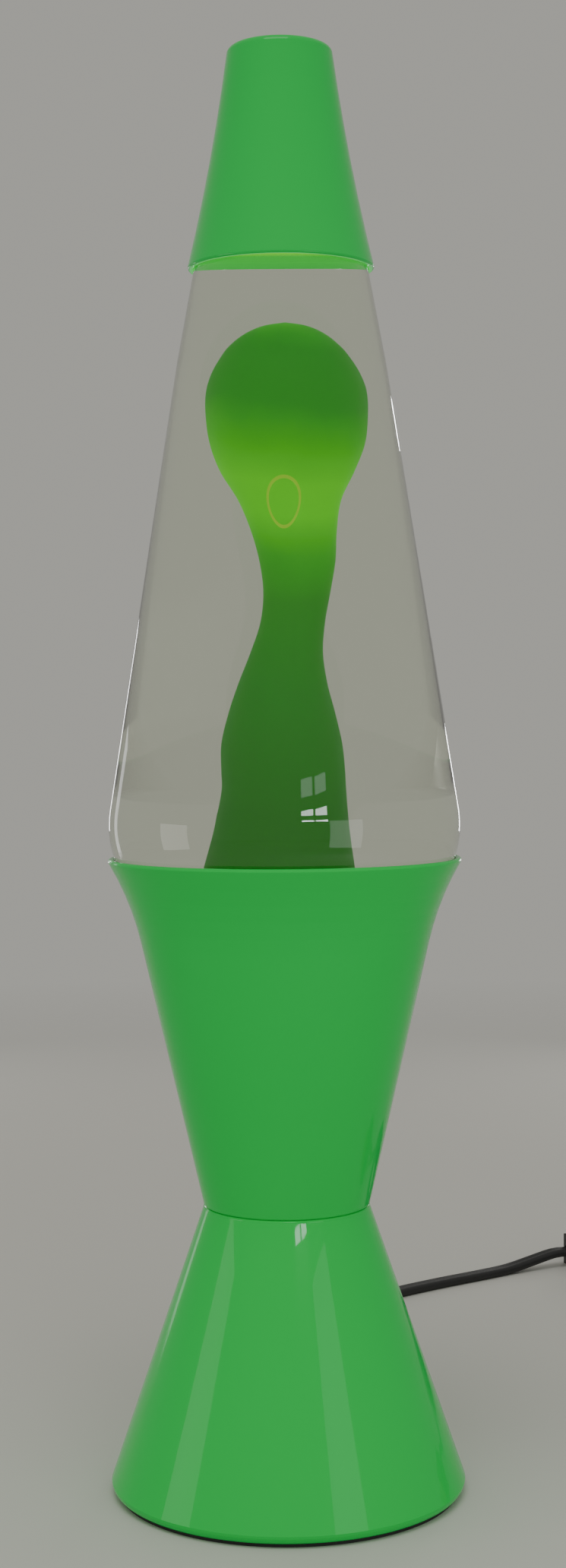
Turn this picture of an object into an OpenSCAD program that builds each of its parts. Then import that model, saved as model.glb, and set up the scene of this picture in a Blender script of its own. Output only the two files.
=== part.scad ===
// Lava lamp: a glass globe of liquid and wax that stands in a spun metal base, under a slip-on cap.
// The origin is the centre of the base on the table, +Z up. The flex leaves at the back, towards +Y.

/* [Base] */
// Diameter of the lower cone at its foot
base_d = 90.8; // [76:0.1:112]
// Height of the waist seam above the table
waist_z = 73.6; // [66:0.1:90]
// Diameter of the waist
waist_d = 42.8; // [42:0.1:52]
// Height of the upper cone
cone_h = 88.9; // [82:0.1:108]
// Diameter of the rim that holds the globe
rim_d = 90.1; // [84:0.1:110]
// How far the flare widens the upper cone on each side
flare_out = 8.25; // [6:0.05:11]
// Height of the flare below the rim
flare_h = 21.5; // [16:0.1:26]
// Thickness of the spun sheet
sheet_t = 0.9; // [0.7:0.05:1.2]
// Thickness of the rubber ring that the base stands on
foot_t = 0.8; // [0.5:0.1:2]

/* [Globe] */
// Height of the globe from the rim to the edge of the cap
globe_show_h = 148.8; // [120:0.1:180]
// Diameter of the globe at the edge of the cap
globe_top_d = 44.2; // [40:0.1:48]
// How much wider the globe is 24 mm below the cap
globe_widening = 9; // [6:0.1:12]
// Wall of the glass
glass_t = 2.4; // [1.8:0.1:3.2]
// Outside diameter of the bottle neck
neck_d = 24.8; // [22:0.1:27]
// Depth of the globe below the rim
globe_sink = 44.5; // [40:0.1:50]

/* [Cap] */
// How far the cap's edge stands out past the globe
cap_over = 1.5; // [1.2:0.1:3]
// How much further in the cap's flat top is than its edge
cap_taper = 10.15; // [8:0.1:12]
// Height of the cap
cap_h = 55.7; // [48:0.1:72]

/* [Bulb and socket] */
// Diameter of the bulb
bulb_d = 34.9; // [28:0.1:38]
// Length of the bulb with its screw base
bulb_l = 58; // [54:0.5:60]
// Outside diameter of the socket
socket_d = 24.6; // [24:0.1:26]
// Height of the socket
socket_h = 30; // [26:0.5:32]

/* [Flex] */
// Width of the flat twin flex
flex_w = 5.6; // [4.8:0.1:6.4]
// Thickness of the flat twin flex
flex_t = 2.9; // [2.4:0.1:3]

/* [Fits] */
// Gap between a lifting piece and its seat
seat_gap = 0.25; // [0.15:0.05:0.4]
// Gap between threads and in holes that turn
turn_gap = 0.3; // [0.2:0.05:0.4]
// Gap between the liquid and the glass
film = 0.05; // [0.02:0.01:0.1]

/* [Hidden] */
$fn = 72;
enamel = [0.16, 0.68, 0.30];
wax_green = [0.35, 0.70, 0.12];
steel = [0.72, 0.73, 0.74];
brass = [0.80, 0.65, 0.32];
black = [0.08, 0.08, 0.09];
phenolic = [0.20, 0.12, 0.08];
clear_glass = [0.85, 0.93, 0.88, 0.35];

base_r = base_d/2;
waist_r = waist_d/2;
rim_r = rim_d/2;
rim_z = waist_z + cone_h;
cap_z = rim_z + globe_show_h;
lamp_top = cap_z + cap_h;

// Points along an arc, from one angle to another
function arc(x, y, r, from, to, steps = 6) =
    [for (i = [0:steps]) let (a = from + (to - from)*i/steps) [x + r*cos(a), y + r*sin(a)]];

// Radius on the straight line between two [radius, height] points
function line_r(a, b, z) = a[0] + (b[0] - a[0])*(z - a[1])/(b[1] - a[1]);

// ---- Lower cone ----
curl_r = 2.4;                        // rounding of the sheet at the foot
lip_w = 9;                           // width of the inward lip at the foot
edge_r = 0.7;                        // rounding of the sheet at the waist
cone_low = [base_r, foot_t + curl_r];
cone_high = [waist_r, waist_z - edge_r];
lower_slope = (cone_low[0] - cone_high[0])/(cone_high[1] - cone_low[1]);
lower_wall = sheet_t*sqrt(1 + lower_slope*lower_slope);
lip_r = base_r - lip_w;
function lower_outer_r(z) = line_r(cone_low, cone_high, z);

// ---- Waist ----
waist_hole_r = socket_d/2 + 0.6;
screw_pcd_r = (waist_hole_r + waist_r - sheet_t)/2 + 0.25;
screw_r = 1.5;
screw_head_r = 2.6;
screw_head_h = 1.7;
nut_af = 5.2;
nut_h = 2.2;
screw_angles = [30, 150, 270];

// ---- Upper cone ----
bead_r = 0.75;                       // half the thickness of the hemmed rim
flare_z = rim_z - flare_h;
flare_r = rim_r - flare_out;
rim_in_r = rim_r - 2*bead_r;
upper_pts = [[waist_r, waist_z + edge_r], [flare_r, flare_z], [rim_r - bead_r/2, rim_z - 2*bead_r]];
upper_slope = (upper_pts[1][0] - upper_pts[0][0])/(upper_pts[1][1] - upper_pts[0][1]);
upper_wall = sheet_t*sqrt(1 + upper_slope*upper_slope);
flare_lean = atan(upper_slope);
flare_chord = upper_pts[2] - upper_pts[1];
flare_turn = 90 - atan2(flare_chord[1], flare_chord[0]) - flare_lean;
flare_bend = norm(flare_chord)/(2*sin(flare_turn));
flare_c = upper_pts[1] + flare_bend*[cos(flare_lean), -sin(flare_lean)];
function flare_a(z, r) = 180 - asin((z - flare_c[1])/r);
function upper_outer_r(z) = z < flare_z ? line_r(upper_pts[0], upper_pts[1], z)
                                        : flare_c[0] - sqrt(pow(flare_bend, 2) - pow(z - flare_c[1], 2));

// ---- Globe outline: a shoulder circle and a foot circle joined by a tangent, then cones to the neck ----
globe_bottom = rim_z - globe_sink;
shoulder_r = 28;                     // radius of the shoulder
shoulder_rise = 8.5;                 // height of the widest point above the rim
foot_r = 6;                          // radius of the bottom corner
foot_clear = 6.4;                    // room between the bottom corner and the base
shoulder_x = rim_r - bead_r - sqrt(pow(shoulder_r + bead_r + seat_gap, 2) - pow(shoulder_rise + bead_r, 2));
shoulder_z = rim_z + shoulder_rise;
foot_x = upper_outer_r(globe_bottom + foot_r) - upper_wall - foot_clear - foot_r;
foot_z = globe_bottom + foot_r;
upper_drop = 24;                     // how far below the cap edge the widening is taken
neck_rise = 6.5;                     // how far above the cap edge the neck starts to curve
top_pt = [globe_top_d/2, cap_z];
upper_pt = [(globe_top_d + globe_widening)/2, cap_z - upper_drop];
top_slope = (upper_pt[0] - top_pt[0])/upper_drop;
neck_pt = [top_pt[0] - top_slope*neck_rise, cap_z + neck_rise];
tilt_top = atan(top_slope);
down_gap = [foot_x - shoulder_x, foot_z - shoulder_z];
tilt_down = atan2(down_gap[1], down_gap[0]) + acos((shoulder_r - foot_r)/norm(down_gap));
up_gap = [upper_pt[0] - shoulder_x, upper_pt[1] - shoulder_z];
tilt_up = atan2(up_gap[1], up_gap[0]) - acos(shoulder_r/norm(up_gap));
neck_r = neck_d/2;
shoulder_w = neck_pt[0] - neck_r;
bend_a = min(12, 1.41*shoulder_w);   // radius of the outward curve above the cones
bend_b = min(5, 0.59*shoulder_w);    // radius of the inward curve into the neck
neck_turn = 55;                      // steepest lean of the shoulder under the cap
bend_a_c = [neck_pt[0] - bend_a*cos(tilt_top), neck_pt[1] - bend_a*sin(tilt_top)];
bend_end = bend_a_c + bend_a*[cos(neck_turn), sin(neck_turn)];
ramp_l = (bend_end[0] - neck_r - bend_b*(1 - cos(neck_turn)))/sin(neck_turn);
ramp_end = bend_end + ramp_l*[-sin(neck_turn), cos(neck_turn)];
bend_b_c = ramp_end + bend_b*[cos(neck_turn), sin(neck_turn)];
neck_top = bend_b_c[1] + 10.4;
crown_bead = 0.9;                    // how far the glass bead under the closure stands out
bead_h = 5;
liquid_z = bend_a_c[1] + 3;          // level of the liquid, hidden by the cap

// Outline of the globe, moved inwards by w: w = 0 is the outside, w = glass_t the inside
function globe_outline(w, top) = concat(
    [[0, globe_bottom + w]],
    arc(foot_x, foot_z, foot_r - w, -90, tilt_down),
    arc(shoulder_x, shoulder_z, shoulder_r - w, tilt_down, tilt_up, 12),
    [upper_pt - w*[cos(tilt_top), sin(tilt_top)]],
    arc(bend_a_c[0], bend_a_c[1], bend_a - w, tilt_top, neck_turn),
    arc(bend_b_c[0], bend_b_c[1], bend_b + w, 180 + neck_turn, 180, 5),
    [[neck_r - w, top], [0, top]]);

// ---- Closure ----
crown_r = neck_r + crown_bead + 1.7;
crown_h = 6;
crown_t = 0.3;
liner_t = 0.5;
crown_top = neck_top + liner_t + crown_t;
flutes = 21;

// ---- Cap ----
cap_r = globe_top_d/2 + cap_over;
cap_top_r = max(cap_r - cap_taper, neck_r + 0.9);
cap_edge_r = 1.9;                    // rounding round the flat top
cap_bow = 0.7;                       // how far the side bows inwards at half height
hem_h = 1.6;
hem_r = line_r(upper_pt, top_pt, cap_z) + seat_gap;
function cap_side(f) = [cap_r + (cap_top_r - cap_r)*f - 4*cap_bow*f*(1 - f), cap_z + 0.6 + (cap_h - 0.6 - cap_edge_r)*f];
cap_steps = 6;

// ---- Wax: height above the inside of the globe's bottom, and radius ----
wax_outline = [[0, 60], [7, 60], [14, 20], [24, 17], [40, 15], [58, 12.3], [74, 10.4], [88, 8], [102, 6.4],
               [116, 7], [126, 8.4], [136, 11], [146, 13.9], [154, 15.3], [162, 15], [168, 13.2],
               [173, 10.5], [176.5, 6.6], [178, 0]];
wax_floor = globe_bottom + glass_t + film;

// ---- Coil of wire that gathers the wax at the bottom ----
coil_wire_r = 1.5;
coil_r = foot_x - 1;

// ---- Bulb ----
bulb_gap = 6;                        // room between the bulb and the globe
bulb_top = globe_bottom - bulb_gap;
bulb_tip = bulb_top - bulb_l;
bulb_r = bulb_d/2;
bulb_glass_t = 0.6;
bulb_c = bulb_top - bulb_r;          // centre of the round end
shell_h = 16;                        // height of the screw shell
shell_z = bulb_tip + 4;
shell_t = 0.4;
thread_r = 8.3;
thread_root = 7.6;
thread_pitch = 2.8;
thread_turns = 4;
thread_z = shell_z + 1;
bulb_neck_r = thread_root - 0.3;
neck_curve = 16;
bulb_neck_a = -55;                   // where the round end meets the neck

// ---- Socket ----
socket_r = socket_d/2;
socket_z = bulb_tip - 8.2;
socket_top = socket_z + socket_h;
socket_floor = bulb_tip - 3;         // bottom of the hollow for the bulb
socket_bore = 9.6;
contact_x = 7.4;                     // how far the centre contact reaches from the middle
terminal_r = 2.2;
terminal_in = 2;                     // depth of the terminals' recesses in the socket
terminal_up = 3.4;
strap_t = 1;
strap_w = 9;
nipple_r = 4.9;
nipple_bore = 3.9;
nipple_up = 4.6;
nipple_nut_af = 13;
nipple_nut_h = 3;
leg_x = waist_hole_r + 0.2;
strap_z = socket_z - strap_t;

// ---- Bottom cover ----
cover_t = 1.6;
cover_fit = 0.15;
cover_r = lip_r - cover_fit;
hook_w = 8;
hook_h = 6;
vent_r = 2.2;
vent_ring = 20;
vent_count = 8;

// ---- Flex, gland, switch and plug ----
gland_z = 10;
gland_hole_r = 4.2;
gland_end_r = 3.3;
gland_flange_r = 5.6;
gland_in = 3;
gland_end_y = 68;
wire_r = 1;
wire_gap = 1.4;                      // half the distance between the two cores
wire_bend = 12;
gland_y = lower_outer_r(gland_z);

flex_z = 1.5;                        // height of the flex's centre where it lies on the table
switch_l = 56;
switch_c = [127.3, 241.05];
switch_turn = 20;
flex_in = 4;                         // how far the flex reaches into the switch
flex_gap = 0.1;
function on_switch(x) = [switch_c[0] + x*cos(switch_turn), switch_c[1] + x*sin(switch_turn), 5];
coil_c = [147.4, 190];               // centre of the wound flex
turn_pitch = 5.8;
turn_rise = 3.1;
coil_mid_r = 31;
coil_layers = 3;
coil_z = 0.65;                       // underside of the wound flex, on its tie
tie_w = 6;
tie_t = 0.5;
lamp_route = [[0, 68, 10], [0, 78, 10], [0, 89, 8.2], [0, 101, 4.6], [1, 114, 2], [2.5, 128, 1.5],
              [6.5, 144, 1.5], [14, 161, 1.5], [25, 177, 1.5], [38, 190, 1.5], [53, 202, 1.5],
              [67, 212, 1.5], [78, 220, 1.7], [87.5, 225.6, 3.4], on_switch(-switch_l/2 - 6),
              on_switch(-switch_l/2), on_switch(-switch_l/2 + flex_in)];
switch_route = [on_switch(switch_l/2 - flex_in), on_switch(switch_l/2), on_switch(switch_l/2 + 5),
                [165.5, 253.4, 3], [172.5, 250.3, 1.5], [179, 244.2, 1.5], [183, 236.5, 1.5],
                [184.2, 228, 1.6], [184.2, 215, 1.8], [184.2, 202, 2.1], [184.2, 190, 2.1]];
plug_route = [[184.2, 190, 8.3], [184.2, 178, 8.0], [184.2, 169, 6.6], [184.2, 160, 3.8], [184.2, 149, 1.7],
              [184.2, 138, 1.5], [184.2, 129, 1.6], [184.2, 118, 3.2], [184.2, 107, 5.6], [184.2, 98, 6.5],
              [184.2, 90, 6.5]];

switch_w = 20;
switch_low_h = 5;                    // also the height at which the flex goes in
switch_high_h = 6;
switch_wall = 1.6;
switch_nose = 8;
switch_screw_x = 20;
rocker_l = 17;
rocker_w = 9;
rocker_pin_r = 1;
rocker_pin_l = 1.2;
rocker_z = switch_low_h + 3.4;
rocker_tilt = 9;

plug_l = 34;
plug_w = 25;
plug_t = 13;
plug_end = [184.2, 90];
blade_gap = 12.7;
blade_t = 1.5;
blade_h = 6.3;
blade_l = 17.5;

// ---------------- Base ----------------

// Sheet cone that flares down from the waist, with a flange at the waist and a lip at the foot
module lower_cone_solid() {
    rotate_extrude() polygon(concat(
        [[0, foot_t]], arc(base_r - curl_r, foot_t + curl_r, curl_r, -90, 0),
        arc(waist_r - edge_r, waist_z - edge_r, edge_r, 0, 90, 4),
        [[0, waist_z]]));
}

module lower_cone_hollow() {
    rotate_extrude() polygon(concat(
        [[0, foot_t + sheet_t]],
        arc(base_r - curl_r, foot_t + curl_r, curl_r - sheet_t, -90, 0, 4),
        [[lower_outer_r(waist_z - sheet_t) - lower_wall, waist_z - sheet_t], [0, waist_z - sheet_t]]));
}

module lower_cone() {
    color(enamel) difference() {
        lower_cone_solid();
        lower_cone_hollow();
        translate([0, 0, foot_t - 1]) cylinder(h = sheet_t + 2, r = lip_r);
        translate([0, 0, waist_z - 2]) cylinder(h = 4, r = waist_hole_r);
        waist_holes();
        translate([0, gland_y - 10, gland_z]) rotate([-90, 0, 0]) cylinder(h = 20, r = gland_hole_r);
    }
}

module waist_holes() {
    for (a = screw_angles) rotate(a) translate([screw_pcd_r, 0, waist_z - 5])
        cylinder(h = 10, r = screw_r + 0.1);
}

// Sheet cone that opens up to the hemmed rim
module upper_cone() {
    color(enamel) difference() {
        rotate_extrude() polygon(concat(
            [[0, waist_z], [waist_r - edge_r, waist_z]],
            arc(waist_r - edge_r, waist_z + edge_r, edge_r, -60, 0, 4),
            arc(flare_c[0], flare_c[1], flare_bend, 180 - flare_lean, 180 - flare_lean - 2*flare_turn, 5),
            arc(rim_r - bead_r, rim_z - bead_r, bead_r, 0, 180),
            [[rim_in_r, rim_z - 2*bead_r]],
            arc(flare_c[0], flare_c[1], flare_bend + sheet_t,
                flare_a(rim_z - 4*bead_r, flare_bend + sheet_t), 180 - flare_lean, 5),
            [[upper_outer_r(waist_z + sheet_t) - upper_wall, waist_z + sheet_t],
             [0, waist_z + sheet_t]]));
        translate([0, 0, waist_z - 2]) cylinder(h = 4, r = waist_hole_r);
        waist_holes();
    }
}

// Pressed cover that snaps into the lip, with vents and three hooks
module bottom_cover() {
    color(black) difference() {
        union() {
            translate([0, 0, foot_t]) cylinder(h = cover_t, r = cover_r);
            for (a = [90, 210, 330]) rotate(a) translate([cover_r - 2.4, -hook_w/2, foot_t]) {
                cube([1.6, hook_w, hook_h]);
                translate([0, 0, sheet_t + 0.15]) cube([3.6, hook_w, 1.4]);
            }
        }
        for (i = [0:vent_count - 1]) rotate(i*360/vent_count + 22.5) translate([vent_ring, 0, foot_t - 1])
            cylinder(h = cover_t + 2, r = vent_r);
    }
}

module foot_ring() {
    color(black) difference() {
        cylinder(h = foot_t, r = base_r - curl_r + 0.4);
        translate([0, 0, -1]) cylinder(h = foot_t + 2, r = lip_r + 0.6);
    }
}

module waist_screws() {
    color(steel) for (a = screw_angles) rotate(a) translate([screw_pcd_r, 0, waist_z + sheet_t]) {
        difference() {
            cylinder(h = screw_head_h, r = screw_head_r);
            translate([-screw_head_r, -0.35, screw_head_h - 0.8]) cube([2*screw_head_r, 0.7, 1]);
        }
        translate([0, 0, -8]) cylinder(h = 8, r = screw_r);
    }
}

module waist_nuts() {
    color(steel) for (a = screw_angles) rotate(a)
        translate([screw_pcd_r, 0, waist_z - sheet_t - strap_t - nut_h]) difference() {
            cylinder(h = nut_h, r = nut_af/sqrt(3), $fn = 6);
            translate([0, 0, -1]) cylinder(h = nut_h + 2, r = screw_r);
        }
}

// ---------------- Socket ----------------

// Steel strap that hangs from the waist flange and carries the socket
module socket_bracket() {
    ring_z = waist_z - sheet_t - strap_t;
    ring_r = lower_outer_r(ring_z) - lower_wall - 0.4;
    color(steel) difference() {
        union() {
            difference() {
                translate([0, 0, ring_z]) cylinder(h = strap_t, r = ring_r);
                translate([0, 0, ring_z - 1]) cylinder(h = strap_t + 2, r = waist_hole_r);
            }
            for (s = [-1, 1]) translate([s > 0 ? leg_x : -leg_x - strap_t, -strap_w/2, strap_z])
                cube([strap_t, strap_w, ring_z + strap_t - strap_z]);
            translate([-leg_x - strap_t, -strap_w/2, strap_z]) cube([2*(leg_x + strap_t), strap_w, strap_t]);
        }
        translate([0, 0, strap_z - 1]) cylinder(h = strap_t + 2, r = nipple_r + 0.1);
        waist_holes();
    }
}

// Threaded tube that bolts the socket to the strap and lets the wires out
module socket_nipple() {
    color(steel) translate([0, 0, strap_z - nipple_nut_h - 1]) difference() {
        cylinder(h = nipple_nut_h + 1 + strap_t + nipple_up, r = nipple_r);
        translate([0, 0, -1]) cylinder(h = 20, r = nipple_bore);
    }
}

module nipple_nuts() {
    color(steel) translate([0, 0, strap_z - nipple_nut_h]) difference() {
        cylinder(h = nipple_nut_h, r = nipple_nut_af/sqrt(3), $fn = 6);
        translate([0, 0, -1]) cylinder(h = nipple_nut_h + 2, r = nipple_r);
    }
}

module socket_body() {
    color(phenolic) difference() {
        translate([0, 0, socket_z]) cylinder(h = socket_h, r = socket_r);
        translate([0, 0, socket_floor]) cylinder(h = socket_h, r = socket_bore);
        translate([0, 0, socket_z - 1]) cylinder(h = nipple_up + 1, r = nipple_r);
        translate([0, 0, socket_z]) cylinder(h = 20, r = nipple_bore);
        translate([-contact_x, -2.2, socket_floor - 0.6]) cube([contact_x, 4.4, 1]);
        for (s = [-1, 1]) translate([0, s*(socket_r - terminal_in), socket_z + terminal_up])
            rotate([-90*s, 0, 0]) cylinder(h = 5, r = terminal_r + 0.3);
    }
}

// Grooves cut round the inside of a threaded shell, or ridges round the outside of one
module thread_rings(r_root, r_crest) {
    for (i = [0:thread_turns - 1]) translate([0, 0, thread_z + i*thread_pitch]) rotate_extrude()
        polygon([[r_root, -thread_pitch*0.42], [r_crest, -thread_pitch*0.12], [r_crest, thread_pitch*0.12],
                 [r_root, thread_pitch*0.42]]);
}

module socket_shell() {
    crest = thread_root + turn_gap;
    color(brass) difference() {
        translate([0, 0, socket_floor]) cylinder(h = thread_z + thread_turns*thread_pitch - socket_floor,
                                                 r = socket_bore);
        translate([0, 0, socket_floor - 1]) cylinder(h = 40, r = crest);
        thread_rings(crest - 0.1, thread_r + turn_gap + 0.1);
    }
}

module socket_contact() {
    color(brass) {
        translate([-contact_x, -2, socket_floor - 0.6]) cube([contact_x - nipple_bore + 1, 4, 0.8]);
        translate([-nipple_bore - 1.4, -2, socket_floor]) cube([nipple_bore + 3.4, 4, bulb_tip - 0.25 - socket_floor]);
    }
}

module terminal_screws() {
    color(brass) for (s = [-1, 1]) translate([0, s*(socket_r - terminal_in), socket_z + terminal_up])
        rotate([-90*s, 0, 0]) difference() {
            cylinder(h = 2.6, r = terminal_r);
            translate([-terminal_r, -0.3, 1.9]) cube([2*terminal_r, 0.6, 1]);
        }
}

// ---------------- Bulb ----------------

function bulb_outline(w) = concat(
    [[0, bulb_top - w]],
    arc(0, bulb_c, bulb_r - w, 90, bulb_neck_a, 14),
    [[bulb_neck_r - w, shell_z + shell_h + 0.3], [bulb_neck_r - w, shell_z + shell_h - 1]]);

module bulb_glass() {
    color(clear_glass) rotate_extrude() difference() {
        polygon(concat(bulb_outline(0), [[0, shell_z + shell_h - 1]]));
        polygon(concat(bulb_outline(bulb_glass_t), [[0, shell_z + shell_h - 1]]));
    }
}

module bulb_shell() {
    color(steel) {
        difference() {
            union() {
                translate([0, 0, shell_z]) cylinder(h = shell_h, r = thread_root);
                thread_rings(thread_root - 0.05, thread_r);
            }
            translate([0, 0, shell_z - 1]) cylinder(h = shell_h, r = thread_root - shell_t);
            translate([0, 0, shell_z + shell_h - 2]) cylinder(h = 3, r = bulb_neck_r);
        }
    }
}

// Black glass plug and solder tip under the screw shell
module bulb_contact() {
    color(black) rotate_extrude() polygon([[0, bulb_tip + 1], [3, bulb_tip + 1], [thread_root, shell_z],
                                           [thread_root - shell_t, shell_z],
                                           [thread_root - shell_t, shell_z + 1.5], [0, shell_z + 1.5]]);
    color(steel) translate([0, 0, bulb_tip]) cylinder(h = 1, r = 2.4);
}

module bulb_stem() {
    color(clear_glass) {
        translate([0, 0, shell_z + 1.5]) cylinder(h = shell_h + 8, r = 2);
        translate([0, 0, shell_z + shell_h + 4]) cylinder(h = 4, r = 3);
    }
}

// Two support wires and the coiled filament between them
module filament() {
    wire_z = shell_z + shell_h + 9.5;
    wire_l = 12;
    color(steel) {
        for (s = [-1, 1]) translate([s*2, 0, wire_z]) rotate([0, s*20, 0]) cylinder(h = wire_l, r = 0.3, $fn = 24);
        translate([0, 0, wire_z + wire_l*cos(20)]) rotate([0, 90, 0])
            cylinder(h = 2*(2 + wire_l*sin(20)), r = 0.6, center = true, $fn = 24);
    }
}

// ---------------- Globe ----------------

module globe_glass() {
    color(clear_glass) union() {
        rotate_extrude() difference() {
            polygon(globe_outline(0, neck_top));
            polygon(globe_outline(glass_t, neck_top + 1));
        }
        rotate_extrude() difference() {
            translate([neck_r - 0.5, 0]) polygon(concat(
                [[0, neck_top - bead_h]], arc(crown_bead - 0.5, neck_top - bead_h + 1, 1, -90, 0, 4),
                arc(crown_bead - 0.5, neck_top - 1, 1, 0, 90, 4), [[0, neck_top]]));
        }
    }
}

module wax_section() {
    intersection() {
        polygon(globe_outline(glass_t + film, neck_top));
        polygon(concat([[0, wax_floor]], [for (p = wax_outline) [p[1], wax_floor + p[0]]]));
    }
}

module coil_ring(r) {
    translate([0, 0, wax_floor + coil_wire_r + 0.3]) rotate_extrude() translate([coil_r, 0]) circle(r = r, $fn = 24);
}

module liquid() {
    color([0.75, 0.85, 0.78, 0.4]) rotate_extrude() difference() {
        intersection() {
            polygon(globe_outline(glass_t + film, neck_top));
            square([rim_r, liquid_z]);
        }
        wax_section();
    }
}

module wax() {
    color(wax_green) difference() {
        rotate_extrude() wax_section();
        coil_ring(coil_wire_r);
    }
}

module wax_coil() {
    color(steel) coil_ring(coil_wire_r - 0.02);
}

module crown_closure() {
    color(steel) difference() {
        rotate_extrude() polygon([[0, neck_top + liner_t], [neck_r + 0.7, neck_top + liner_t],
                                  [neck_r + crown_bead + 0.2, neck_top - 0.4],
                                  [neck_r + crown_bead + 0.2, neck_top - 1.6],
                                  [crown_r - crown_t, crown_top - crown_h],
                                  [crown_r, crown_top - crown_h],
                                  [neck_r + crown_bead + 0.5, neck_top - 1.6],
                                  [neck_r + crown_bead + 0.5, neck_top - 0.3],
                                  [neck_r + 1.2, crown_top], [0, crown_top]]);
        for (i = [0:flutes - 1]) rotate(i*360/flutes) translate([crown_r + 0.9, 0, crown_top - crown_h - 1])
            cylinder(h = 4, r = 1.1, $fn = 24);
    }
}

module closure_liner() {
    color("whitesmoke") translate([0, 0, neck_top]) cylinder(h = liner_t, r = neck_r + 0.4);
}

module cap() {
    outer = concat([for (i = [0:cap_steps]) cap_side(i/cap_steps)],
                   arc(cap_top_r - cap_edge_r, lamp_top - cap_edge_r, cap_edge_r, 15, 90, 5));
    inner = concat([[0, lamp_top - sheet_t], [cap_top_r - cap_edge_r - 0.2, lamp_top - sheet_t]],
                   [for (i = [cap_steps:-1:1]) cap_side(i/cap_steps) - [sheet_t*1.02, i == cap_steps ? 0.4 : 0]],
                   [cap_side((hem_h - 0.6)/(cap_h - 0.6 - cap_edge_r)) - [sheet_t*1.02, 0]]);
    color(enamel) difference() {
        rotate_extrude() polygon(concat([[0, cap_z], [cap_r - 0.6, cap_z]],
                                        arc(cap_r - 0.6, cap_z + 0.6, 0.6, -90, -10, 4), outer, [[0, lamp_top]]));
        rotate_extrude() polygon(concat(inner, [[hem_r, cap_z + hem_h], [hem_r, cap_z - 1], [0, cap_z - 1]]));
    }
}

// ---------------- Wiring ----------------

// Flat flex swept along its route, as one closed tube with flat ends
module flex(route) {
    n = len(route);
    sides = 8;
    function unit(v) = v/norm(v);
    rings = [for (i = [0:n - 1]) let (
        along = unit(route[min(i + 1, n - 1)] - route[max(i - 1, 0)]),
        across = unit(cross([0, 0, 1], along)),
        up = cross(along, across))
        [for (k = [0:sides - 1]) let (a = (k + 0.5)*360/sides)
            route[i] + across*(flex_w/2)*cos(a)/cos(180/sides) + up*(flex_t/2)*sin(a)/cos(180/sides)]];
    body = [for (i = [0:n - 2]) for (k = [0:sides - 1])
        [i*sides + k, (i + 1)*sides + k, (i + 1)*sides + (k + 1) % sides, i*sides + (k + 1) % sides]];
    polyhedron(points = [for (r = rings) for (p = r) p],
               faces = concat(body, [[for (k = [0:sides - 1]) k]],
                              [[for (k = [sides - 1:-1:0]) (n - 1)*sides + k]]));
}

module flex_lamp_side() { color(black) flex(lamp_route); }

module flex_switch_side() { color(black) flex(switch_route); }

module flex_plug_side() { color(black) flex(plug_route); }

module flex_coil() {
    half = 1.5*turn_pitch;
    color(black) translate([coil_c[0], coil_c[1], 0]) rotate_extrude()
        translate([coil_mid_r - half, coil_z]) square([2*half, coil_layers*turn_rise]);
}

// Plastic band round the wound flex
module flex_tie() {
    curve_room = tie_w*tie_w/(8*(coil_mid_r - 1.5*turn_pitch));
    in_w = 3*turn_pitch + 2*curve_room + 0.2;
    in_h = coil_layers*turn_rise + 0.1;
    color(black) translate([coil_c[0] - coil_mid_r, coil_c[1], coil_z + coil_layers*turn_rise/2]) difference() {
        cube([in_w + 2*tie_t, tie_w, in_h + 2*tie_t], center = true);
        cube([in_w, tie_w + 1, in_h], center = true);
    }
}

// Two cores from the socket down through the nipple and out to the gland
module inner_leads() {
    top_z = socket_floor - 0.25;
    end_y = gland_y - gland_in - 1;
    color([0.75, 0.7, 0.6]) for (s = [-1, 1]) translate([s*wire_gap, 0, 0]) {
        translate([0, 0, gland_z + wire_bend]) cylinder(h = top_z - gland_z - wire_bend, r = wire_r, $fn = 24);
        translate([0, wire_bend, gland_z + wire_bend]) rotate([90, 0, 90]) rotate([0, 0, 180])
            rotate_extrude(angle = 90) translate([wire_bend, 0]) circle(r = wire_r, $fn = 24);
        translate([0, wire_bend, gland_z]) rotate([-90, 0, 0]) cylinder(h = end_y - wire_bend, r = wire_r, $fn = 24);
    }
}

// Moulded strain relief: a collar in the hole, a flange on each side and a tapered tail
module cord_gland() {
    color(black) {
        difference() {
            translate([0, gland_y - gland_in - 1, gland_z]) rotate([-90, 0, 0]) cylinder(h = 9, r = gland_flange_r);
            lower_cone_wall();
        }
        translate([0, gland_y - gland_in - 1, gland_z]) rotate([-90, 0, 0])
            cylinder(h = gland_in + 1, r = gland_hole_r - 0.05);
        translate([0, gland_y, gland_z]) rotate([-90, 0, 0])
            cylinder(h = gland_end_y - gland_y, r1 = gland_hole_r - 0.05, r2 = gland_end_r);
    }
}

// The lower cone's sheet without its holes, for cutting the gland to lie against it
module lower_cone_wall() {
    difference() {
        lower_cone_solid();
        lower_cone_hollow();
    }
}

// ---------------- Switch on the flex ----------------

module in_switch_place() {
    translate([switch_c[0], switch_c[1], 0]) rotate(switch_turn) children();
}

// One quarter of the outline, mirrored into the other three
module switch_plan() {
    quarter = [[switch_l/2, switch_nose/2], [switch_l/2 - 6, switch_w/2 - 1.5], [switch_l/2 - 12, switch_w/2]];
    polygon(concat(quarter, [for (i = [2:-1:0]) [-quarter[i][0], quarter[i][1]]],
                   [for (p = quarter) -p], [for (i = [2:-1:0]) [quarter[i][0], -quarter[i][1]]]));
}

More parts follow.
